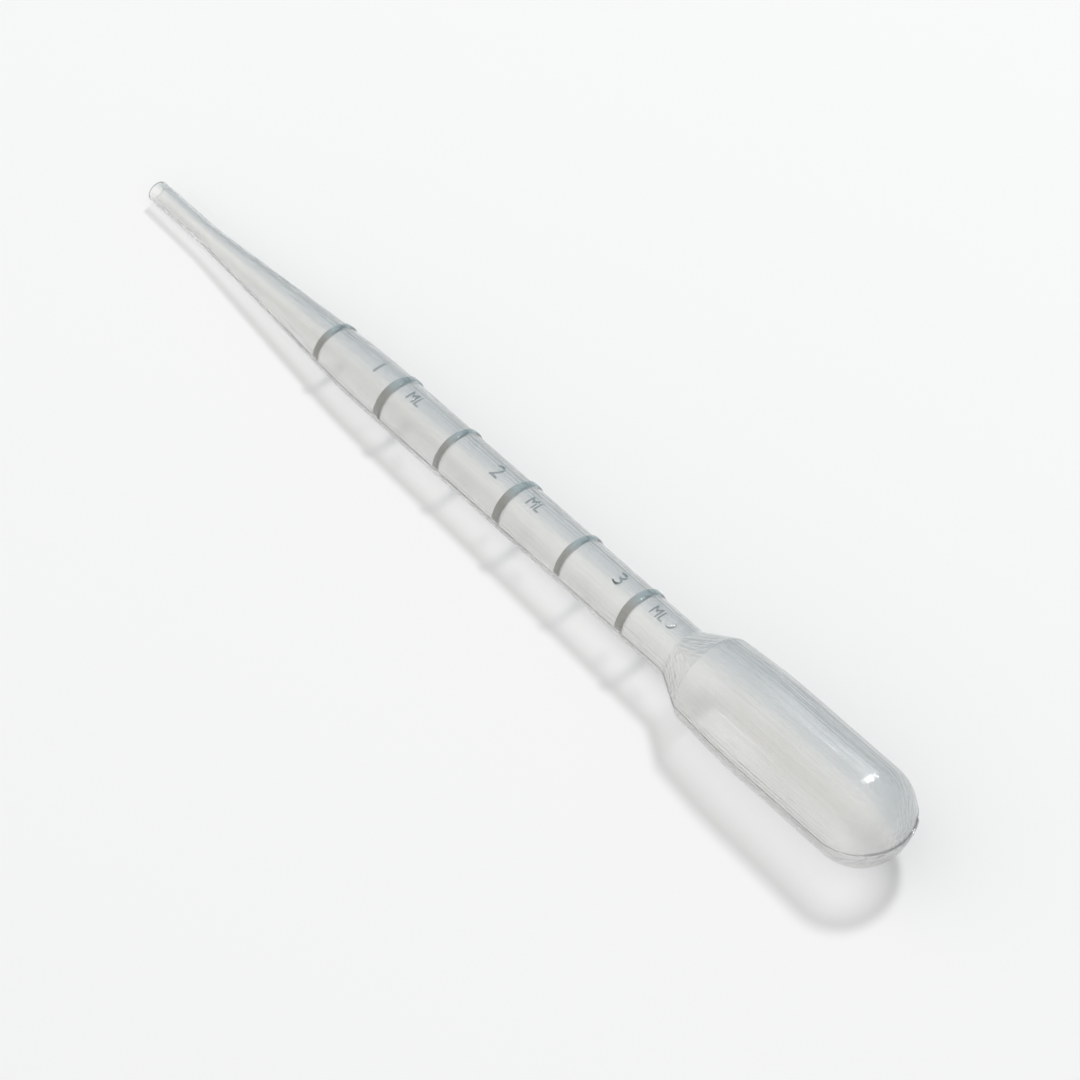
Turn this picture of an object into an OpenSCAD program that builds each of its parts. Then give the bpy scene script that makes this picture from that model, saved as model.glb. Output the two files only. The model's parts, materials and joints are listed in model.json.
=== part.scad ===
// Graduated plastic dropper pipette, blow moulded in one piece: a drawn tip, a long cone,
// a round stem with raised scale bars, and a squeeze bulb with a round end.
// It lies on its side as it comes to rest, scale up, tip towards -X and bulb towards +X.
// Millimetres, +Z up, origin in the middle of its box, on the surface it lies on.

/* [Overall] */
// Length from the cut tip to the end of the bulb
overall_l = 155; // [125:1:200]
// Outer diameter of the bulb
bulb_d = 14.8; // [12:0.1:18]
// Outer diameter of the stem
stem_d = 7.9; // [6.4:0.1:9.6]

/* [Tip] */
// Outer diameter of the drawn tip
tip_d = 3.2; // [2.6:0.1:4.4]
// Length of the straight tip
tip_l = 12; // [9:0.5:20]
// Wall of the tip
tip_wall = 0.4; // [0.3:0.05:0.6]
// Length of the cone from the tip to the stem
taper_l = 34; // [24:1:44]
// Radius that eases the tip into the cone
tip_ease = 60; // [20:5:90]
// Radius that eases the cone into the stem
taper_ease = 160; // [60:10:180]

/* [Stem] */
// Wall of the stem
stem_wall = 0.4; // [0.3:0.05:0.6]
// Least length of plain neck between the last scale bar and the flare
neck_l = 5; // [4:0.5:9]

/* [Bulb] */
// Length of the bulb from its shoulder to its end
bulb_l = 36.5; // [30:0.5:46]
// Length of the flare from the neck to the shoulder
flare_l = 5.4; // [4:0.1:9]
// Distance of the shoulder crease inside the full radius of the bulb
shoulder_in = 0.65; // [0.3:0.05:1.1]
// Length over which the bulb swells from the shoulder to its full diameter
swell_l = 9; // [7:0.5:14]
// Wall of the bulb
bulb_wall = 0.4; // [0.3:0.05:0.6]
// Wall at the end of the bulb, where the tube was pinched shut
end_wall = 0.55; // [0.4:0.05:0.9]

/* [Scale] */
// Volume of one scale step, in millilitres
step_ml = 0.5; // [0.25, 0.5, 1]
// Height of a bar above the stem
bar_h = 0.25; // [0.15:0.05:0.35]
// Width of a bar at a whole millilitre
whole_bar_w = 1.6; // [0.9:0.1:2.4]
// Angle about the stem that a whole millilitre bar covers
whole_bar_span = 180; // [120:2:180]
// Width of a bar between whole millilitres
part_bar_w = 1.3; // [0.7:0.1:2]
// Angle about the stem that a bar between whole millilitres covers
part_bar_span = 170; // [60:2:180]

/* [Moulding marks] */
// Height of the parting line above the surface
seam_h = 0.1; // [0.05:0.01:0.2]
// Width of the parting line
seam_w = 0.36; // [0.2:0.02:0.6]
// Height of the pinched seam across the end of the bulb
pinch_h = 0.3; // [0.15:0.05:0.6]
// Width of the pinched seam
pinch_w = 0.7; // [0.4:0.05:1.2]
// Length of the pinched seam across the end of the bulb
pinch_l = 9; // [5:0.5:11]
// Diameter of the round pip on the neck
pip_d = 1.5; // [1:0.1:2.2]
// Height of the pip
pip_h = 0.3; // [0.1:0.05:0.5]
// Distance of the pip before the flare
pip_back = 2.8; // [2:0.1:4]

/* [Hidden] */
$fn = 96;

// Radii
tip_r = tip_d / 2;
stem_r = stem_d / 2;
bulb_r = bulb_d / 2;
shoulder_r = bulb_r - shoulder_in;
bulb_bore_r = bulb_r - bulb_wall;

// Places along the axis, counted from the cut tip
cone_end = tip_l + taper_l;
shoulder_x = overall_l - bulb_l;
neck_x = shoulder_x - flare_l;
swell_x = shoulder_x + swell_l;
bore_end = overall_l - end_wall;

// Radii that round the creases at the neck and the shoulder, and ease the swell of the bulb
neck_round = 1.6;
shoulder_round = 1.2;
swell_ease = 100;

// Largest turn between two points of an arc, and the fewest steps in one
arc_turn = 5;
arc_steps = 6;

// Bars and the pip grow out of the wall from this far below its surface
root = 0.2;
// Each flank of a bar leans in by this share of its height, so that it leaves the mould
bar_draft = 0.6;
// The pip's rim is bevelled by this much of its height
pip_bevel = 0.5;
// The scale faces this way about the axis, and the parting plane lies at right angles to it
scale_face = 180;
// A cut runs this far past the face it opens
past = 1;
// Cubic millimetres in a millilitre
ml = 1000;

// Outlines. A corner is [place along the axis, radius, radius of the arc that rounds it],
// and the last corner of a list only gives the arc before it its direction.

// Corners of the outside, grown by extra all over
function outer_corners(extra) = [
    [0, tip_r + extra, 0],
    [tip_l, tip_r + extra, tip_ease - extra],
    [cone_end, stem_r + extra, taper_ease + extra],
    [neck_x, stem_r + extra, neck_round - extra],
    [shoulder_x, shoulder_r + extra, shoulder_round + extra],
    [swell_x, bulb_r + extra, swell_ease + extra],
    [overall_l + extra, bulb_r + extra, bulb_r + extra],
    [overall_l + extra, 0, 0]
];

// Corners of the bore, each one wall inside the outer corner
bore_corners = [
    [0, tip_r - tip_wall, 0],
    [tip_l, tip_r - tip_wall, tip_ease + tip_wall],
    [cone_end, stem_r - stem_wall, taper_ease - stem_wall],
    [neck_x, stem_r - stem_wall, neck_round + stem_wall],
    [shoulder_x, shoulder_r - bulb_wall, shoulder_round - bulb_wall],
    [swell_x, bulb_bore_r, swell_ease - bulb_wall],
    [bore_end, bulb_bore_r, bulb_bore_r],
    [bore_end, 0, 0]
];

function place(corner) = [corner[0], corner[1]];
function toward(from, to) = (to - from) / norm(to - from);
function turned(v, a) = [v[0] * cos(a) - v[1] * sin(a), v[0] * sin(a) + v[1] * cos(a)];

// Centre of the arc that rounds corner i and touches the legs on both sides of it
function arc_centre(corners, i) =
    let (
        here = place(corners[i]),
        back = toward(here, place(corners[i - 1])),
        on = toward(here, place(corners[i + 1])),
        half_angle = acos(back * on) / 2
    )
    here + toward([0, 0], back + on) * corners[i][2] / sin(half_angle);

// Points of that arc, from the leg before the corner to the leg after it
function arc_points(corners, i) =
    let (
        here = place(corners[i]),
        back = toward(here, place(corners[i - 1])),
        on = toward(here, place(corners[i + 1])),
        turn = 180 - acos(back * on),
        way = sign(back[1] * on[0] - back[0] * on[1]),
        centre = arc_centre(corners, i),
        arm = here + back * corners[i][2] * tan(turn / 2) - centre,
        steps = max(arc_steps, ceil(turn / arc_turn))
    )
    [for (s = [0 : steps]) centre + turned(arm, way * turn * s / steps)];

// The outline: a corner with no arc as it is, the others rounded
function outline(corners) = [
    for (i = [0 : len(corners) - 2])
        each (corners[i][2] == 0 ? [place(corners[i])] : arc_points(corners, i))
];

outer_line = outline(outer_corners(0));
bore_line = outline(bore_corners);

// Radius of the outside at a place along the axis
function outer_r(x) = lookup(x, outer_line);

// Scale. A bar stands where the bore, filled from the tip, holds the volume it marks.

// Volume between two neighbouring points of the bore
function slice(a, b) =
    PI / 3 * (b[0] - a[0]) * (a[1] * a[1] + a[1] * b[1] + b[1] * b[1]);

// Volume of each slice, and volume from the tip up to where each slice begins
slices = [for (i = [0 : len(bore_line) - 2]) slice(bore_line[i], bore_line[i + 1])];
filled = [for (i = 0, v = 0; i < len(slices); v = v + slices[i], i = i + 1) v];
bore_volume = filled[len(slices) - 1] + slices[len(slices) - 1];

// Place where the bore, filled from the tip, holds volume v
function fill_place(v) =
    let (
        i = max([for (k = [0 : len(filled) - 1]) if (filled[k] <= v) k]),
        a = bore_line[i],
        b = bore_line[i + 1],
        rest = v - filled[i],
        slope = (b[1] - a[1]) / (b[0] - a[0])
    )
    abs(slope) < 0.000001
        ? a[0] + rest / (PI * a[1] * a[1])
        : a[0] + (pow(pow(a[1], 3) + 3 * slope * rest / PI, 1 / 3) - a[1]) / slope;

// Rest. The pipette lies on its bulb, where that reaches its full diameter, and on its stem,
// where the cone eases into it, or on its tip where that reaches lower: the surface touches
// the arcs at two of these corners, or the tip's own corner, which has no arc.
function tangent_tilt(corners, i, k) =
    let (
        first = corners[i][2] == 0 ? place(corners[i]) : arc_centre(corners, i),
        step = arc_centre(corners, k) - first
    )
    atan2(step[1], step[0]) + asin((corners[k][2] - corners[i][2]) / norm(step));

tip_corner = 0;
stem_corner = 2;
bulb_corner = 5;
rest_tilt = min(
    tangent_tilt(outer_corners(0), stem_corner, bulb_corner),
    tangent_tilt(outer_corners(0), tip_corner, bulb_corner)
);
// Height of the tip's centre, and the middle of the box along X
bulb_arc = arc_centre(outer_corners(0), bulb_corner);
tip_z = bulb_arc[1] * cos(rest_tilt) + outer_corners(0)[bulb_corner][2]
    - bulb_arc[0] * sin(rest_tilt);
box_start = -tip_r * sin(rest_tilt);
box_end = (overall_l - bulb_r) * cos(rest_tilt) + bulb_r + pinch_h;
mid_x = (box_start + box_end) / 2;

// A solid of revolution about Z from an outline that ends on the axis
module turned_solid(line, start) {
    rotate_extrude()
        polygon(concat(
            [[0, start], [line[0][1], start]],
            [for (p = line) if (p[0] > start) [max(0, p[1]), p[0]]]
        ));
}

// Lays what stands on Z, tip down, on the surface with its scale up
module lay_down() {
    translate([-mid_x, 0, tip_z])
        rotate([0, 90 - rest_tilt, 0])
            children();
}

// One raised bar about the stem, with leaning flanks that start under the surface
module scale_bar(x, w, span) {
    low = x - w / 2;
    high = x + w / 2;
    lean = bar_h * bar_draft;
    sunk = root * bar_draft;
    rotate([0, 0, scale_face - span / 2])
        rotate_extrude(angle = span)
            polygon([
                [outer_r(low) - root, low - sunk],
                [outer_r(low + lean) + bar_h, low + lean],
                [outer_r(high - lean) + bar_h, high - lean],
                [outer_r(high) - root, high + sunk]
            ]);
}

// All bars, from the first step to the last that leaves the neck plain
module scale_bars() {
    for (n = [1 : floor(bore_volume / (step_ml * ml))]) {
        x = fill_place(n * step_ml * ml);
        whole = n * step_ml == floor(n * step_ml);
        if (x <= neck_x - neck_l)
            scale_bar(x, whole ? whole_bar_w : part_bar_w, whole ? whole_bar_span : part_bar_span);
    }
}

// Thin ridge on both sides, where the two halves of the mould met
module parting_line() {
    intersection() {
        turned_solid(outline(outer_corners(seam_h)), 0);
        translate([-seam_w / 2, -bulb_d, tip_l])
            cube([seam_w, 2 * bulb_d, overall_l]);
    }
}

// Short thicker seam across the end of the bulb, where the mould pinched the tube shut
module pinched_seam() {
    intersection() {
        turned_solid(outline(outer_corners(pinch_h)), 0);
        translate([-pinch_w / 2, -pinch_l / 2, overall_l - bulb_r])
            cube([pinch_w, pinch_l, 2 * bulb_r]);
    }
}

// Low round pip on the neck, in line with the scale
module neck_pip() {
    bevel = pip_h * pip_bevel;
    side = root + pip_h - bevel;
    rotate([0, 0, scale_face])
        translate([stem_r - root, 0, neck_x - pip_back])
            rotate([0, 90, 0]) {
                cylinder(d = pip_d, h = side);
                translate([0, 0, side])
                    cylinder(d1 = pip_d, d2 = pip_d - 2 * bevel, h = bevel);
            }
}

// The whole moulding, hollow from the open tip to the end of the bulb
module pipette() {
    color("#dde4e6")
        lay_down()
            difference() {
                union() {
                    turned_solid(outer_line, 0);
                    scale_bars();
                    parting_line();
                    pinched_seam();
                    neck_pip();
                }
                turned_solid(bore_line, -past);
            }
}

pipette();
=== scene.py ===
"""Graduated plastic dropper pipette: the finished look of its one-piece moulding.

The moulding is modelled in millimetres along its own line. X runs from the cut tip to the
end of the bulb, and +Z is the side that carries the scale. It is then laid down in metres
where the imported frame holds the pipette, on a plain pale floor in soft studio light.
"""

import json
import logging
import math
from collections.abc import Callable, Iterator
from contextlib import contextmanager
from dataclasses import dataclass, field
from enum import Enum

import bmesh
import bpy
from mathutils import Matrix, Vector

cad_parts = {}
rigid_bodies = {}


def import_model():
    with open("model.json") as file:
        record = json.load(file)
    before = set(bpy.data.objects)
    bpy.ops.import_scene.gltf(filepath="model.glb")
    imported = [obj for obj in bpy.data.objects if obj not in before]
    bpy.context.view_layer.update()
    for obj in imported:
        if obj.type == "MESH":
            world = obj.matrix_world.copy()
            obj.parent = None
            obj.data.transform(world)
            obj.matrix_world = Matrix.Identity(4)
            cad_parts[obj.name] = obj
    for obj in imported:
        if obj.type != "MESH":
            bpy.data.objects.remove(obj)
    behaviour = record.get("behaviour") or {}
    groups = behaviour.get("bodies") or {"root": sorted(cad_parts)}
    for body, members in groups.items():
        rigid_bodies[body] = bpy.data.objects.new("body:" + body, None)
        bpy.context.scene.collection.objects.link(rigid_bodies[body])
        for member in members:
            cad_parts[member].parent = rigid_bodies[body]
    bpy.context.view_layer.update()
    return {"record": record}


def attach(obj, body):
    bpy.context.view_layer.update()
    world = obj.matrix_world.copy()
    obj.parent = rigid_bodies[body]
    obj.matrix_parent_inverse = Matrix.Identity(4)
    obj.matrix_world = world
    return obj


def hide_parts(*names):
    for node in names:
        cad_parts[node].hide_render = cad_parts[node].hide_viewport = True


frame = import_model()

logging.basicConfig(level=logging.INFO, format="%(message)s")
log = logging.getLogger("pipette")

MM = 0.001
CUBIC_MM_IN_ML = 1000.0
MERGE = 0.001
UNIT_GRAIN = 1.0

Colour = tuple[float, float, float, float]
CLEAR: Colour = (1.0, 1.0, 1.0, 1.0)


class Pick(Enum):
    """What a selection in edit mode is made of."""

    VERTS = "VERT"
    FACES = "FACE"


# ---------------------------------------------------------------- bench helpers


def deselect_all() -> None:
    """Leaves edit mode and selects nothing."""
    if bpy.context.object and bpy.context.object.mode != "OBJECT":
        bpy.ops.object.mode_set(mode="OBJECT")
    bpy.ops.object.select_all(action="DESELECT")


def take_up(piece: bpy.types.Object) -> None:
    """Makes a piece the only one selected, and the active one.

    Args:
        piece: The object to select.
    """
    deselect_all()
    piece.select_set(True)
    bpy.context.view_layer.objects.active = piece


@contextmanager
def editing(piece: bpy.types.Object) -> Iterator[None]:
    """Opens a piece in edit mode for the length of a with block.

    Args:
        piece: The mesh object to work on.
    """
    take_up(piece)
    bpy.ops.object.mode_set(mode="EDIT")
    yield
    bpy.ops.object.mode_set(mode="OBJECT")


def pick(piece: bpy.types.Object, what: Pick, wanted: Callable[[Vector, Vector], bool]) -> None:
    """Selects what passes a test, and nothing else, on a piece in edit mode.

    Args:
        piece: The mesh object in edit mode.
        what: Whether vertices or faces are tested and selected.
        wanted: Test of a vertex's place or a face's middle, and of its normal.
    """
    bpy.ops.mesh.select_mode(type=what.value)
    bpy.ops.mesh.select_all(action="DESELECT")
    work = bmesh.from_edit_mesh(piece.data)
    if what is Pick.VERTS:
        for vert in work.verts:
            if wanted(vert.co, vert.normal):
                vert.select = True
    else:
        for face in work.faces:
            if wanted(face.calc_center_median(), face.normal):
                face.select = True
    work.select_flush_mode()
    bmesh.update_edit_mesh(piece.data, loop_triangles=False, destructive=False)


def angle_from_top(point: Vector) -> float:
    """Angle in degrees about the pipette's line between a point and the scale's middle."""
    return abs(math.degrees(math.atan2(point.y, point.z)))


def faces_out(point: Vector, normal: Vector) -> bool:
    """True if a surface faces away from the pipette's line, as the outer wall does."""
    return normal.y * point.y + normal.z * point.z > 0


# ---------------------------------------------------------------- outline


@dataclass(frozen=True)
class Corner:
    """A corner of an outline, rounded by an arc that touches both of its legs."""

    along: float
    radius: float
    ease: float = 0.0

    @property
    def place(self) -> Vector:
        """The corner as a point of the outline."""
        return Vector((self.along, self.radius))


@dataclass(frozen=True)
class Outline:
    """A line of points from corners, with round stretches as arcs."""

    corners: tuple[Corner, ...]
    arc_turn: float = 4.0
    arc_steps: int = 6

    def arc(self, index: int) -> list[Vector]:
        """Works out the arc that rounds one corner.

        Args:
            index: The corner's number in the list.

        Returns:
            The arc's points, from the leg before the corner to the leg after it.
        """
        corner = self.corners[index]
        here = corner.place
        back = (self.corners[index - 1].place - here).normalized()
        on = (self.corners[index + 1].place - here).normalized()
        turn = math.pi - back.angle(on)
        way = -math.copysign(1.0, back.cross(on))
        centre = here + (back + on).normalized() * corner.ease / math.cos(turn / 2)
        arm = here + back * corner.ease * math.tan(turn / 2) - centre
        steps = max(self.arc_steps, math.ceil(math.degrees(turn) / self.arc_turn))
        return [
            centre + Matrix.Rotation(way * turn * step / steps, 2) @ arm
            for step in range(steps + 1)
        ]

    def points(self) -> list[Vector]:
        """All points of the outline. The first and last corners only give directions."""
        return [point for index in range(1, len(self.corners) - 1) for point in self.arc(index)]


def between(start: Vector, end: Vector, stations: list[float], gap: float) -> list[Vector]:
    """Adds points to a straight stretch of an outline.

    Args:
        start: The stretch's first point.
        end: The stretch's last point.
        stations: Places along the pipette at which a point is wanted.
        gap: Furthest that two points may stand apart.

    Returns:
        The new points in order, without the two ends.
    """
    reach = end.x - start.x
    length = (end - start).length
    if abs(reach) < MERGE:
        return []
    wanted = [(station - start.x) / reach for station in stations]
    shares = sorted(share for share in wanted if 0 < share < 1)
    spread: list[float] = []
    for low, high in zip([0.0, *shares], [*shares, 1.0]):
        steps = max(1, math.ceil((high - low) * length / gap))
        spread += [low + (high - low) * step / steps for step in range(steps)]
    return [start.lerp(end, share) for share in spread if share > 0]


# ---------------------------------------------------------------- where it lies


@dataclass(frozen=True)
class OwnLine:
    """The pipette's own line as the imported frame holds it."""

    tip: Vector
    direction: Vector

    @classmethod
    def from_mount(cls, record: dict, name: str) -> "OwnLine":
        """Reads the line from a mount at the tip.

        Args:
            record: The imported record.
            name: The mount's name.

        Returns:
            The line from the centre of the cut tip towards the bulb.
        """
        mount = next(entry for entry in record["mounts"] if entry["name"] == name)
        return cls(Vector(mount["pos_m"]), -Vector(mount["axis"]))

    @property
    def tilt(self) -> float:
        """Angle in radians by which the line rises towards the bulb."""
        return math.asin(self.direction.z)

    def lay(self, piece: bpy.types.Object) -> None:
        """Puts a piece modelled in millimetres along X in its place in the frame.

        Args:
            piece: The finished piece. Its object ends at the origin, unturned and unscaled.
        """
        take_up(piece)
        piece.scale = (MM, MM, MM)
        piece.rotation_euler = (0, -self.tilt, 0)
        piece.location = self.tip
        bpy.ops.object.transform_apply(location=True, rotation=True, scale=True)


# ---------------------------------------------------------------- finishes


class Graph:
    """The node tree of one material, filled by short calls."""

    def __init__(self, name: str) -> None:
        """Starts a material with an empty node tree.

        Args:
            name: The material's name.
        """
        self.material = bpy.data.materials.new(name)
        self.material.use_nodes = True
        self.tree = self.material.node_tree
        self.tree.nodes.clear()

    def add(self, kind: str, settings: dict | None = None, **sockets: object) -> bpy.types.Node:
        """Adds a node.

        Args:
            kind: The node's type name after ShaderNode.
            settings: Properties of the node itself.
            sockets: Input values or links by input name, with spaces as underscores.

        Returns:
            The new node.
        """
        node = self.tree.nodes.new("ShaderNode" + kind)
        for name, value in (settings or {}).items():
            setattr(node, name, value)
        for name, value in sockets.items():
            socket = node.inputs[name.replace("_", " ")]
            if isinstance(value, bpy.types.NodeSocket):
                self.tree.links.new(value, socket)
            else:
                socket.default_value = value
        return node

    def mix(self, share: object, first: bpy.types.Node, second: bpy.types.Node) -> bpy.types.Node:
        """Mixes two shaders.

        Args:
            share: How much of the second shader shows, as a number or a socket.
            first: The first shader's node.
            second: The second shader's node.

        Returns:
            The mix node.
        """
        node = self.add("MixShader", Fac=share)
        self.tree.links.new(first.outputs[0], node.inputs[1])
        self.tree.links.new(second.outputs[0], node.inputs[2])
        return node

    def pair(
        self, kind: str, operation: str, first: bpy.types.NodeSocket, second: object
    ) -> bpy.types.NodeSocket:
        """Combines two values or vectors.

        Args:
            kind: The node's type name after ShaderNode.
            operation: What it does with the two.
            first: The first value.
            second: The second value, as a number or a socket.

        Returns:
            The result.
        """
        node = self.add(kind, {"operation": operation})
        self.tree.links.new(first, node.inputs[0])
        if isinstance(second, bpy.types.NodeSocket):
            self.tree.links.new(second, node.inputs[1])
        else:
            node.inputs[1].default_value = second
        return node.outputs[0]

    def ramp(
        self, share: bpy.types.NodeSocket, low: Colour, high: Colour
    ) -> bpy.types.NodeSocket:
        """Turns a share between 0 and 1 into a colour between two colours.

        Args:
            share: How far from the first colour to the second.
            low: The colour at 0.
            high: The colour at 1.

        Returns:
            The colour.
        """
        node = self.add("ValToRGB", Fac=share)
        node.color_ramp.elements[0].color = low
        node.color_ramp.elements[1].color = high
        return node.outputs["Color"]

    def finish(self, shader: bpy.types.Node) -> bpy.types.Material:
        """Sends a shader to the output and returns the material."""
        self.add("OutputMaterial", Surface=shader.outputs[0])
        return self.material


@dataclass(frozen=True)
class NaturalPolyethylene:
    """Milky clear soft plastic with the fine lengthwise lines of a drawn, blown tube, and painted
    shade on its far side, edges and marks.
    """

    tint: Colour = (0.995, 0.993, 0.985, 1.0)
    # Painted shade: the upper far side of the plastic is tinted cooler and greyer.
    cool_tint: Colour = (0.88, 0.899, 0.908, 1.0)
    cool_side: tuple[float, float, float] = (0.0, 0.87, 0.48)
    cool_from: float = -0.1
    cool_full: float = 0.6
    index: float = 1.51
    clearness: float = 0.91
    haze: float = 0.03
    gloss_low: float = 0.04
    gloss_high: float = 0.09
    line_length: float = 40.0
    line_width: float = 0.40
    line_depth: float = 0.085
    line_detail: float = 4.0
    wave_length: float = 14.0
    wave_width: float = 3.2
    wave_depth: float = 0.08
    wave_detail: float = 1.0
    skin_grain: float = 0.35
    skin_depth: float = 0.002
    skin_detail: float = 2.0
    patch_detail: float = 3.0
    streak_tint: Colour = (0.96, 0.96, 0.955, 1.0)
    streak_from: float = 0.45
    streak_full: float = 0.62
    streak_detail: float = 2.0
    # Painted shade: the plastic darkens towards edges that turn away from the view.
    edge_tint: Colour = (0.86, 0.868, 0.864, 1.0)
    edge_blend: float = 0.3
    # Painted shadow and shade on the clear scale marks: dark brown-grey near, teal-grey far.
    near_mark: Colour = (0.20, 0.195, 0.18, 1.0)
    far_mark: Colour = (0.36, 0.47, 0.50, 1.0)
    mark_low: float = 0.11
    mark_high: float = 0.15
    mark_clear: float = 3.7
    shade_tint: Colour = (0.985, 0.985, 0.985, 1.0)
    rim_shade: Colour = (0.42, 0.42, 0.42, 1.0)
    shade_blend: float = 0.35
    mark_shade: Colour = (0.55, 0.58, 0.60, 1.0)

    def stretched(
        self, graph: Graph, line: OwnLine, long: float, wide: float
    ) -> bpy.types.NodeSocket:
        """Lays pattern coordinates along the pipette.

        Args:
            graph: The material's nodes.
            line: The pipette's own line.
            long: Size of the pattern along the line, in millimetres.
            wide: Size of the pattern across the line, in millimetres.

        Returns:
            The coordinates.
        """
        coordinates = graph.add("TexCoord").outputs["Object"]
        mapping = graph.add(
            "Mapping",
            {"vector_type": "TEXTURE"},
            Vector=coordinates,
            Location=line.tip,
            Rotation=(0, -line.tilt, 0),
            Scale=(long * MM, wide * MM, wide * MM),
        )
        return mapping.outputs["Vector"]

    def split(
        self, graph: Graph, line: OwnLine
    ) -> tuple[bpy.types.NodeSocket, bpy.types.NodeSocket]:
        """Splits a point's place in millimetres into one part along the line and one across.

        Args:
            graph: The material's nodes.
            line: The pipette's own line.

        Returns:
            The distance along the line, and the vector from the line to the point.
        """
        place = graph.add("SeparateXYZ", Vector=self.stretched(graph, line, 1.0, 1.0))
        across = graph.add("CombineXYZ", Y=place.outputs["Y"], Z=place.outputs["Z"])
        return place.outputs["X"], across.outputs[0]

    def relief(self, graph: Graph, line: OwnLine) -> bpy.types.NodeSocket:
        """Builds the surface's fine relief: slow waves, drawn lines and a moulded skin.

        Args:
            graph: The material's nodes.
            line: The pipette's own line.

        Returns:
            The normal with the relief on it.
        """
        layers = (
            (self.wave_length, self.wave_width, self.wave_depth, self.wave_detail),
            (self.line_length, self.line_width, self.line_depth, self.line_detail),
            (self.skin_grain, self.skin_grain, self.skin_depth, self.skin_detail),
        )
        normal = None
        for long, wide, depth, detail in layers:
            noise = graph.add(
                "TexNoise",
                Vector=self.stretched(graph, line, long, wide),
                Scale=UNIT_GRAIN,
                Detail=detail,
            )
            bump = graph.add(
                "Bump", Height=noise.outputs["Fac"], Distance=depth * MM, Strength=1.0
            )
            if normal:
                graph.tree.links.new(normal, bump.inputs["Normal"])
            normal = bump.outputs["Normal"]
        return normal

    def gloss(self, graph: Graph, line: OwnLine) -> bpy.types.NodeSocket:
        """Varies the roughness in long soft patches.

        Args:
            graph: The material's nodes.
            line: The pipette's own line.

        Returns:
            The roughness.
        """
        noise = graph.add(
            "TexNoise",
            Vector=self.stretched(graph, line, self.wave_length, self.line_width),
            Scale=UNIT_GRAIN,
            Detail=self.patch_detail,
        )
        spread = graph.add(
            "MapRange",
            Value=noise.outputs["Fac"],
            To_Min=self.gloss_low,
            To_Max=self.gloss_high,
        )
        return spread.outputs["Result"]

    def marks(
        self, graph: Graph, line: OwnLine, outline: tuple[Corner, Corner, Corner]
    ) -> bpy.types.NodeSocket:
        """Finds the scale's marks, which stand higher than the cone and the stem.

        Args:
            graph: The material's nodes.
            line: The pipette's own line.
            outline: Corners where the cone begins, where the stem begins and where it ends.

        Returns:
            1 on a mark and 0 beside it.
        """
        start, end, neck = outline
        along, across = self.split(graph, line)
        reach = graph.add("VectorMath", {"operation": "LENGTH"}, Vector=across)
        wall = graph.add(
            "MapRange",
            Value=along,
            From_Min=start.along,
            From_Max=end.along,
            To_Min=start.radius,
            To_Max=end.radius,
        )
        height = graph.pair("Math", "SUBTRACT", reach.outputs["Value"], wall.outputs["Result"])
        raised = graph.add(
            "MapRange", Value=height, From_Min=self.mark_low, From_Max=self.mark_high
        )
        last = neck.along - self.mark_clear
        before_neck = graph.pair("Math", "LESS_THAN", along, last)
        return graph.pair("Math", "MULTIPLY", raised.outputs["Result"], before_neck)

    def cool(self, graph: Graph, line: OwnLine) -> bpy.types.NodeSocket:
        """Finds the upper far side, where painted shade turns the plastic cooler and greyer.

        Args:
            graph: The material's nodes.
            line: The pipette's own line.

        Returns:
            1 on that side and 0 on the other.
        """
        across = self.split(graph, line)[1]
        way = graph.add("VectorMath", {"operation": "NORMALIZE"}, Vector=across)
        side = graph.add("VectorMath", {"operation": "DOT_PRODUCT"}, Vector=way.outputs[0])
        side.inputs[1].default_value = self.cool_side
        share = graph.add(
            "MapRange",
            {"interpolation_type": "SMOOTHSTEP"},
            Value=side.outputs["Value"],
            From_Min=self.cool_from,
            From_Max=self.cool_full,
        )
        return share.outputs["Result"]

    def colour(
        self, graph: Graph, line: OwnLine, marks: bpy.types.NodeSocket
    ) -> bpy.types.NodeSocket:
        """Tints the plastic: painted shade on its upper far side, random lengthwise streaks,
        painted shade at its edges, and painted shadow and shade on its marks.

        Args:
            graph: The material's nodes.
            line: The pipette's own line.
            marks: Where the scale's marks are.

        Returns:
            The colour.
        """
        cool = self.cool(graph, line)
        streaks = graph.add(
            "TexNoise",
            Vector=self.stretched(graph, line, self.line_length, self.line_width),
            Scale=UNIT_GRAIN,
            Detail=self.streak_detail,
        )
        streak = graph.add(
            "MapRange",
            Value=streaks.outputs["Fac"],
            From_Min=self.streak_from,
            From_Max=self.streak_full,
        )
        # Painted shade at the edges, darker where the surface turns away from the view.
        edge = graph.add("LayerWeight", Blend=self.edge_blend).outputs["Facing"]
        # Painted shade: the plastic turns cooler and greyer towards the upper far side.
        colour = graph.ramp(cool, self.tint, self.cool_tint)
        for share, tint in ((streak.outputs["Result"], self.streak_tint), (edge, self.edge_tint)):
            colour = graph.pair("VectorMath", "MULTIPLY", colour, graph.ramp(share, CLEAR, tint))
        # Painted shadow and shade: the marks turn dark brown-grey on the near side and teal-grey
        # on the far side.
        mark = graph.ramp(cool, self.near_mark, self.far_mark)
        dense = graph.add("Mix", {"data_type": "VECTOR"})
        for value, name in ((marks, "Factor_Float"), (colour, "A_Vector"), (mark, "B_Vector")):
            graph.tree.links.new(value, next(k for k in dense.inputs if k.identifier == name))
        return next(k for k in dense.outputs if k.identifier == "Result_Vector")

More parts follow.
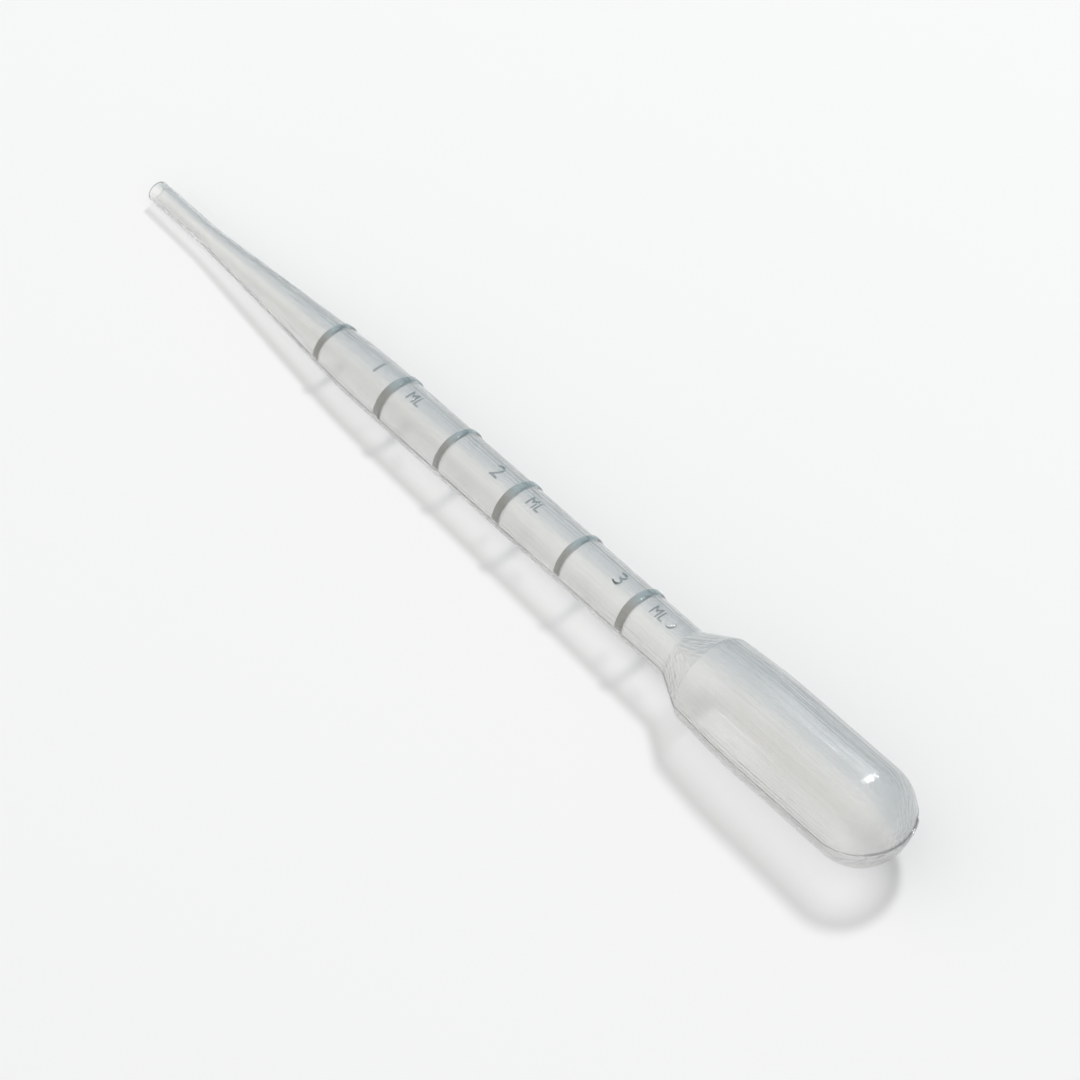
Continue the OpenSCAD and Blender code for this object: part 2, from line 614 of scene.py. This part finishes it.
    def shadow(self, graph: Graph, marks: bpy.types.NodeSocket) -> bpy.types.Node:
        """Makes what shadow and diffuse rays meet: clear face on, darker at edges and marks.

        Args:
            graph: The material's nodes.
            marks: Where the scale's marks are.

        Returns:
            The shader.
        """
        facing = graph.add("LayerWeight", Blend=self.shade_blend).outputs["Facing"]
        wall = graph.ramp(facing, self.shade_tint, self.rim_shade)
        scale = graph.ramp(marks, CLEAR, self.mark_shade)
        tint = graph.pair("VectorMath", "MULTIPLY", wall, scale)
        return graph.add("BsdfTransparent", Color=tint)

    def build(
        self, line: OwnLine, outline: tuple[Corner, Corner, Corner]
    ) -> bpy.types.Material:
        """Makes the material.

        Args:
            line: The pipette's own line, which the pattern follows.
            outline: Corners where the cone begins, where the stem begins and where it ends.

        Returns:
            The material.
        """
        graph = Graph("natural_polyethylene")
        marks = self.marks(graph, line, outline)
        relief = self.relief(graph, line)
        plastic = graph.add(
            "BsdfPrincipled",
            Base_Color=self.colour(graph, line, marks),
            IOR=self.index,
            Transmission_Weight=self.clearness,
            Roughness=self.gloss(graph, line),
            Normal=relief,
        )
        milk = graph.add("BsdfTranslucent", Color=self.tint, Normal=relief)
        body = graph.mix(self.haze, plastic, milk)
        rays = graph.add("LightPath").outputs
        soft = graph.pair("Math", "MAXIMUM", rays["Is Shadow Ray"], rays["Is Diffuse Ray"])
        return graph.finish(graph.mix(soft, body, self.shadow(graph, marks)))


# ---------------------------------------------------------------- the moulding


class BarKind(Enum):
    """The two kinds of scale bar."""

    WHOLE = "at a whole millilitre"
    PART = "between whole millilitres"


@dataclass(frozen=True)
class Bar:
    """One raised bar of the scale."""

    kind: BarKind
    along: float
    width: float
    span: float

    @property
    def low(self) -> float:
        """Where the bar's foot begins."""
        return self.along - self.width / 2

    @property
    def high(self) -> float:
        """Where the bar's foot ends."""
        return self.along + self.width / 2


@dataclass
class Scale:
    """The raised scale: bars about the stem and the figures beside the whole ones."""

    step_ml: float = 0.5
    height: float = 0.25
    draft: float = 0.6
    crest_round: float = 0.24
    crest_steps: int = 4
    whole_width: float = 1.6
    whole_span: float = 174.4
    part_width: float = 1.3
    part_span: float = 170.0
    figure_size: float = 3.3
    figure_height: float = 0.18
    figure_round: float = 0.1
    figure_steps: int = 3
    figure_sunk: float = 0.1
    figure_cut: float = 0.3
    figure_back: float = 4.1
    unit_size: float = 2.6
    unit_narrow: float = 0.78
    unit_on: float = 3.7
    bars: list[Bar] = field(default_factory=list)

    def mark(self, bore: list[Vector], last: float) -> None:
        """Places the bars where the bore, filled from the tip, holds each step.

        Args:
            bore: The bore's outline from the tip to the end of the bulb.
            last: Place beyond which the neck stays plain.
        """
        filled = 0.0
        step = 1
        for start, end in zip(bore, bore[1:]):
            share = start.y**2 + start.y * end.y + end.y**2
            slice_volume = math.pi / 3 * (end.x - start.x) * share
            while step * self.step_ml * CUBIC_MM_IN_ML <= filled + slice_volume:
                part = (step * self.step_ml * CUBIC_MM_IN_ML - filled) / slice_volume
                along = start.x + (end.x - start.x) * part
                if along <= last:
                    self.bars.append(self.bar(step * self.step_ml, along))
                step += 1
            filled += slice_volume

    def bar(self, volume: float, along: float) -> Bar:
        """Makes one bar.

        Args:
            volume: The volume it marks, in millilitres.
            along: Its place along the pipette.

        Returns:
            The bar.
        """
        if volume == int(volume):
            return Bar(BarKind.WHOLE, along, self.whole_width, self.whole_span)
        return Bar(BarKind.PART, along, self.part_width, self.part_span)

    def raise_bars(self, moulding: bpy.types.Object) -> None:
        """Raises each bar from the faces between its feet.

        Args:
            moulding: The turned body, with a ring of edges at each foot.
        """
        with editing(moulding):
            for bar in self.bars:
                pick(
                    moulding,
                    Pick.FACES,
                    lambda point, normal: bar.low < point.x < bar.high
                    and angle_from_top(point) < bar.span / 2
                    and faces_out(point, normal),
                )
                bpy.ops.mesh.inset(thickness=self.height * self.draft, depth=self.height)
                bpy.ops.mesh.region_to_loop()
                bpy.ops.mesh.bevel(
                    offset=self.crest_round,
                    segments=self.crest_steps,
                    affect="EDGES",
                    clamp_overlap=False,
                )

    def figure(
        self, text: str, size: float, narrow: float, along: float, moulding: bpy.types.Object
    ) -> bpy.types.Object:
        """Makes one figure or word as a raised pad that follows the stem.

        Args:
            text: What it reads.
            size: The size of its letters, in millimetres.
            narrow: How much of their own width the letters keep.
            along: The place of its middle.
            moulding: The body it will stand on.

        Returns:
            The closed solid, sunk a little into the wall.
        """
        above = 10.0
        sunk = self.figure_sunk
        cut_gap = self.figure_cut
        deselect_all()
        bpy.ops.object.text_add(location=(along, 0, above))
        piece = bpy.context.object
        piece.data.body = text
        piece.data.size = size
        piece.data.align_x = "CENTER"
        piece.data.align_y = "CENTER"
        piece.scale.x = narrow
        bpy.ops.object.convert(target="MESH")
        bpy.ops.object.transform_apply(location=True, rotation=True, scale=True)
        with editing(piece):
            bpy.ops.mesh.select_all(action="SELECT")
            bpy.ops.mesh.remove_doubles(threshold=MERGE)
            cuts = math.ceil(size / cut_gap / 2)
            for cut in range(-cuts, cuts + 1):
                bpy.ops.mesh.select_all(action="SELECT")
                bpy.ops.mesh.bisect(plane_co=(0, cut * cut_gap, 0), plane_no=(0, 1, 0))
        wrap = piece.modifiers.new("wrap", "SHRINKWRAP")
        wrap.target = moulding
        wrap.wrap_method = "PROJECT"
        wrap.use_project_z = True
        wrap.use_negative_direction = True
        wrap.use_positive_direction = False
        bpy.ops.object.modifier_apply(modifier=wrap.name)
        with editing(piece):
            bpy.ops.mesh.select_all(action="SELECT")
            bpy.ops.transform.translate(value=(0, 0, -sunk))
            bpy.ops.mesh.extrude_region_move(
                TRANSFORM_OT_translate={"value": (0, 0, sunk + self.figure_height)}
            )
            bpy.ops.mesh.region_to_loop()
            bpy.ops.mesh.bevel(
                offset=self.figure_round,
                segments=self.figure_steps,
                affect="EDGES",
                clamp_overlap=False,
            )
            bpy.ops.mesh.select_all(action="SELECT")
            bpy.ops.mesh.normals_make_consistent(inside=False)
        return piece

    def figures(self, moulding: bpy.types.Object) -> list[bpy.types.Object]:
        """Makes the number before each whole bar and the unit after it.

        Args:
            moulding: The body they will stand on.

        Returns:
            The raised pads.
        """
        pads = []
        whole = [bar for bar in self.bars if bar.kind is BarKind.WHOLE]
        for number, bar in enumerate(whole, start=1):
            pads.append(
                self.figure(
                    str(number), self.figure_size, 1.0, bar.along - self.figure_back, moulding
                )
            )
            unit_place = bar.along + self.unit_on
            pads.append(self.figure("ML", self.unit_size, self.unit_narrow, unit_place, moulding))
        return pads


@dataclass
class Moulding:
    """The one-piece blow moulding: tip, cone, stem, flare and bulb, hollow throughout."""

    length: float = 155.0
    bulb_radius: float = 7.4
    stem_radius: float = 3.95
    tip_radius: float = 1.6
    tip_length: float = 12.0
    tip_ease: float = 60.0
    rim_round: float = 0.1
    cone_length: float = 34.0
    cone_ease: float = 160.0
    wall: float = 0.4
    end_wall: float = 0.55
    neck_plain: float = 5.0
    neck_round: float = 1.6
    bulb_length: float = 36.5
    flare_length: float = 5.4
    shoulder_in: float = 0.65
    shoulder_round: float = 1.2
    swell_length: float = 9.0
    swell_ease: float = 100.0
    columns: int = 128
    ring_gap: float = 2.0
    seam_height: float = 0.1
    seam_foot: float = 0.18
    seam_brow: float = 0.08
    seam_margin: float = 4.0
    pinch_height: float = 0.3
    pinch_foot: float = 0.35
    pinch_brow: float = 0.22
    pinch_reach: float = 4.5
    pip_radius: float = 0.75
    pip_height: float = 0.3
    pip_back: float = 2.8
    pip_sunk: float = 0.2
    pip_sides: int = 40
    pip_steps: int = 4
    sharp_turn: float = 32.0
    scale: Scale = field(default_factory=Scale)

    @property
    def neck(self) -> float:
        """Where the stem ends and the flare begins."""
        return self.length - self.bulb_length - self.flare_length

    def outer_corners(self) -> tuple[Corner, ...]:
        """Lists the corners of the outside.

        Returns:
            The corners, from the tip to the end of the bulb.
        """
        shoulder = self.length - self.bulb_length
        return (
            Corner(0, self.tip_radius, self.rim_round),
            Corner(self.tip_length, self.tip_radius, self.tip_ease),
            Corner(self.tip_length + self.cone_length, self.stem_radius, self.cone_ease),
            Corner(self.neck, self.stem_radius, self.neck_round),
            Corner(shoulder, self.bulb_radius - self.shoulder_in, self.shoulder_round),
            Corner(shoulder + self.swell_length, self.bulb_radius, self.swell_ease),
            Corner(self.length, self.bulb_radius, self.bulb_radius),
            Corner(self.length, 0),
        )

    def bore_corners(self) -> tuple[Corner, ...]:
        """Lists the corners of the bore, each one wall inside the outer corner.

        Returns:
            The corners, from the tip to the end of the bulb.
        """
        shoulder = self.length - self.bulb_length
        cone_end = self.tip_length + self.cone_length
        wall = self.wall
        hollow = self.bulb_radius - wall
        end = self.length - self.end_wall
        return (
            Corner(0, self.tip_radius - wall, self.rim_round),
            Corner(self.tip_length, self.tip_radius - wall, self.tip_ease + wall),
            Corner(cone_end, self.stem_radius - wall, self.cone_ease - wall),
            Corner(self.neck, self.stem_radius - wall, self.neck_round + wall),
            Corner(shoulder, hollow - self.shoulder_in, self.shoulder_round - wall),
            Corner(shoulder + self.swell_length, hollow, self.swell_ease - wall),
            Corner(end, hollow, hollow),
            Corner(end, 0),
        )

    def turned_body(self) -> bpy.types.Object:
        """Turns the closed outline about the pipette's line.

        Returns:
            The hollow body, closed but for the open tip.
        """
        bore = Outline((Corner(0, self.bulb_radius), *self.bore_corners())).points()
        self.scale.mark(bore, self.neck - self.neck_plain)
        feet = [place for bar in self.scale.bars for place in (bar.low, bar.high)]
        start = self.tip_length
        line = Outline(tuple(reversed(self.outer_corners())) + self.bore_corners()).points()
        chain = [line[0]]
        outside = True
        for point, after in zip(line, line[1:]):
            outside = outside and after.x < point.x + MERGE
            stations = [*feet, start, start + self.seam_foot] if outside else []
            chain += [*between(point, after, stations, self.ring_gap), after]
        deselect_all()
        bpy.ops.mesh.primitive_plane_add(size=1, location=(chain[0].x, 0, chain[0].y))
        body = bpy.context.object
        body.name = body.data.name = "pipette_moulding"
        bpy.ops.object.transform_apply(location=True, rotation=True, scale=True)
        with editing(body):
            bpy.ops.mesh.select_all(action="SELECT")
            bpy.ops.mesh.merge(type="CENTER")
            for point, after in zip(chain, chain[1:]):
                step = after - point
                bpy.ops.mesh.extrude_vertices_move(
                    TRANSFORM_OT_translate={"value": (step.x, 0, step.y)}
                )
            bpy.ops.mesh.select_all(action="SELECT")
            bpy.ops.mesh.spin(
                steps=self.columns, angle=2 * math.pi, center=(0, 0, 0), axis=(1, 0, 0)
            )
            bpy.ops.mesh.select_all(action="SELECT")
            bpy.ops.mesh.remove_doubles(threshold=MERGE)
            bpy.ops.mesh.normals_make_consistent(inside=False)
        return body

    def cut_band(self, body: bpy.types.Object, heights: tuple[float, ...], start: float) -> None:
        """Cuts the outer wall along the parting plane.

        Args:
            body: The moulding.
            heights: Distances of the cuts from the parting plane, on both of its sides.
            start: Place along the pipette where the cuts begin.
        """
        reach = self.seam_margin * max(heights)
        for height in heights:
            for side in (-height, height):
                pick(
                    body,
                    Pick.FACES,
                    lambda point, normal: point.x > start
                    and abs(point.z) < reach
                    and faces_out(point, normal),
                )
                bpy.ops.mesh.bisect(plane_co=(0, 0, side), plane_no=(0, 0, 1))

    def raise_seams(self, body: bpy.types.Object) -> None:
        """Raises the parting line on both sides and the pinched seam across the bulb's end.

        Args:
            body: The moulding.
        """
        dome = self.length - self.bulb_radius
        with editing(body):
            self.cut_band(body, (self.seam_foot, self.seam_brow), self.tip_length)
            self.cut_band(body, (self.pinch_foot, self.pinch_brow), dome)
            pick(
                body,
                Pick.VERTS,
                lambda point, normal: point.x > self.tip_length + self.seam_foot - MERGE
                and abs(point.z) < self.seam_brow + MERGE
                and faces_out(point, normal)
                and not (point.x > dome and abs(point.y) < self.pinch_reach),
            )
            bpy.ops.transform.shrink_fatten(value=self.seam_height)
            pick(
                body,
                Pick.VERTS,
                lambda point, normal: point.x > dome
                and abs(point.z) < self.pinch_brow + MERGE
                and abs(point.y) < self.pinch_reach
                and normal.x > 0,
            )
            bpy.ops.transform.shrink_fatten(value=self.pinch_height)

    def pip(self) -> bpy.types.Object:
        """Makes the low round pip on the neck.

        Returns:
            The closed solid, sunk into the wall.
        """
        facing_up = 0.9
        sunk = self.pip_sunk
        rim = self.pip_height / 2
        depth = sunk + self.pip_height
        deselect_all()
        bpy.ops.mesh.primitive_cylinder_add(
            vertices=self.pip_sides,
            radius=self.pip_radius,
            depth=depth,
            location=(self.neck - self.pip_back, 0, self.stem_radius - sunk + depth / 2),
        )
        piece = bpy.context.object
        bpy.ops.object.transform_apply(location=True, rotation=True, scale=True)
        with editing(piece):
            pick(piece, Pick.FACES, lambda point, normal: normal.z > facing_up)
            bpy.ops.mesh.bevel(offset=rim, segments=self.pip_steps, affect="EDGES")
        return piece

    def weld(self, body: bpy.types.Object, pads: list[bpy.types.Object]) -> None:
        """Makes raised pads one with the moulding.

        Args:
            body: The moulding.
            pads: Closed solids that stand in its wall. They are used up.
        """
        deselect_all()
        for pad in pads:
            pad.select_set(True)
        bpy.context.view_layer.objects.active = pads[0]
        bpy.ops.object.join()
        joined = bpy.context.object
        take_up(body)
        union = body.modifiers.new("weld", "BOOLEAN")
        union.operation = "UNION"
        union.solver = "EXACT"
        union.object = joined
        bpy.ops.object.modifier_apply(modifier=union.name)
        take_up(joined)
        bpy.ops.object.delete()

    def build(self, line: OwnLine, finish: NaturalPolyethylene) -> bpy.types.Object:
        """Models, lays down and dresses the moulding.

        Args:
            line: The pipette's own line in the frame.
            finish: The plastic it is made of.

        Returns:
            The finished piece.
        """
        body = self.turned_body()
        log.info("turned body: %d bars marked", len(self.scale.bars))
        self.scale.raise_bars(body)
        self.raise_seams(body)
        self.weld(body, [self.pip(), *self.scale.figures(body)])
        line.lay(body)
        bpy.ops.object.shade_smooth_by_angle(angle=math.radians(self.sharp_turn))
        body.data.materials.clear()
        body.data.materials.append(finish.build(line, self.outer_corners()[1:4]))
        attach(body, "root")
        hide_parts("pipette")
        return body


# ---------------------------------------------------------------- the studio


@dataclass(frozen=True)
class PaleFloor:
    """Plain matt floor, a pale grey that the light brings near white."""

    colour: Colour = (0.905, 0.905, 0.905, 1.0)
    roughness: float = 0.7
    gloss: float = 0.2
    half: float = 2.0

    def build(self) -> bpy.types.Object:
        """Lays the floor and gives it its pale matt paint.

        Returns:
            The floor.
        """
        deselect_all()
        bpy.ops.mesh.primitive_plane_add(size=2 * self.half)
        floor = bpy.context.object
        floor.name = "studio_floor"
        graph = Graph("pale_floor")
        paint = graph.add(
            "BsdfPrincipled",
            Base_Color=self.colour,
            Roughness=self.roughness,
            Specular_IOR_Level=self.gloss,
        )
        floor.data.materials.append(graph.finish(paint))
        return floor


@dataclass(frozen=True)
class Studio:
    """Soft light: a round lamp over the far side and a surround, warm near and dim far."""

    lamp_azimuth: float = 114.0
    lamp_elevation: float = 58.0
    lamp_distance: float = 2.5
    lamp_radius: float = 0.20
    lamp_share: float = 0.42
    lamp_colour: tuple[float, float, float] = (0.985, 0.99, 1.0)
    surround_bright: Colour = (1.02, 0.995, 0.955, 1.0)
    surround_dim: Colour = (0.07, 0.12, 0.155, 1.0)
    surround_lean: float = 60.0
    dim_from: float = 0.5
    bright_from: float = 0.8

    def light(self) -> bpy.types.Object:
        """Adds the lamp, at the level that gives the floor its share of plain light.

        Returns:
            The lamp.
        """
        azimuth = math.radians(self.lamp_azimuth)
        elevation = math.radians(self.lamp_elevation)
        towards = Vector(
            (
                math.cos(azimuth) * math.cos(elevation),
                math.sin(azimuth) * math.cos(elevation),
                math.sin(elevation),
            )
        )
        deselect_all()
        bpy.ops.object.light_add(type="AREA", location=towards * self.lamp_distance)
        lamp = bpy.context.object
        lamp.name = "key_lamp"
        lamp.rotation_euler = towards.to_track_quat("Z", "Y").to_euler()
        lamp.data.shape = "DISK"
        lamp.data.size = 2 * self.lamp_radius
        lamp.data.color = self.lamp_colour
        plain = (math.pi * self.lamp_distance) ** 2 / math.sin(elevation)
        lamp.data.energy = self.lamp_share * plain
        return lamp

    def surround(self) -> bpy.types.World:
        """Makes the surround, bright from overhead to the near side and dim on the far side.

        Returns:
            The world.
        """
        world = bpy.data.worlds.new("surround")
        world.use_nodes = True
        tree = world.node_tree
        way = tree.nodes.new("ShaderNodeTexCoord").outputs["Generated"]
        lean = tree.nodes.new("ShaderNodeMapping")
        lean.inputs["Rotation"].default_value = (-math.radians(self.surround_lean), 0, 0)
        split = tree.nodes.new("ShaderNodeSeparateXYZ")
        share = tree.nodes.new("ShaderNodeMapRange")
        share.inputs["From Min"].default_value = -1.0
        ramp = tree.nodes.new("ShaderNodeValToRGB")
        dim, bright = ramp.color_ramp.elements
        dim.color, dim.position = self.surround_dim, self.dim_from
        bright.color, bright.position = self.surround_bright, self.bright_from
        tree.links.new(way, lean.inputs["Vector"])
        tree.links.new(lean.outputs["Vector"], split.inputs[0])
        tree.links.new(split.outputs["Z"], share.inputs["Value"])
        tree.links.new(share.outputs["Result"], ramp.inputs["Fac"])
        tree.links.new(ramp.outputs["Color"], tree.nodes["Background"].inputs["Color"])
        return world

    def build(self) -> None:
        """Sets up the lamp, the surround and the plain view of colours."""
        self.light()
        bpy.context.scene.world = self.surround()
        bpy.context.scene.view_settings.view_transform = "Standard"


@dataclass(frozen=True)
class Viewpoint:
    """The camera: from the side and above, with the bulb end nearer."""

    azimuth: float = 48.3
    elevation: float = 51.0
    roll: float = 1.7
    distance: float = 0.83
    lens: float = 205.0
    nearest: float = 0.01
    aim: tuple[float, float, float] = (0.006, 0.0, 0.003)

    def build(self) -> bpy.types.Object:
        """Sets up the camera.

        Returns:
            The camera.
        """
        azimuth = math.radians(self.azimuth)
        elevation = math.radians(self.elevation)
        back = Vector(
            (
                math.sin(azimuth) * math.cos(elevation),
                -math.cos(azimuth) * math.cos(elevation),
                math.sin(elevation),
            )
        )
        deselect_all()
        bpy.ops.object.camera_add(location=Vector(self.aim) + back * self.distance)
        camera = bpy.context.object
        camera.name = "viewpoint"
        turn = back.to_track_quat("Z", "Y").to_matrix() @ Matrix.Rotation(
            math.radians(self.roll), 3, "Z"
        )
        camera.rotation_euler = turn.to_euler()
        camera.data.lens = self.lens
        camera.data.clip_start = self.nearest
        bpy.context.scene.camera = camera
        return camera


def main() -> None:
    """Builds the moulding and the studio."""
    line = OwnLine.from_mount(frame["record"], "tip_bore")
    moulding = Moulding().build(line, NaturalPolyethylene())
    log.info("%s: %d faces", moulding.name, len(moulding.data.polygons))
    floor = PaleFloor().build()
    log.info("%s laid", floor.name)
    Studio().build()
    Viewpoint().build()


if __name__ == "__main__":
    main()
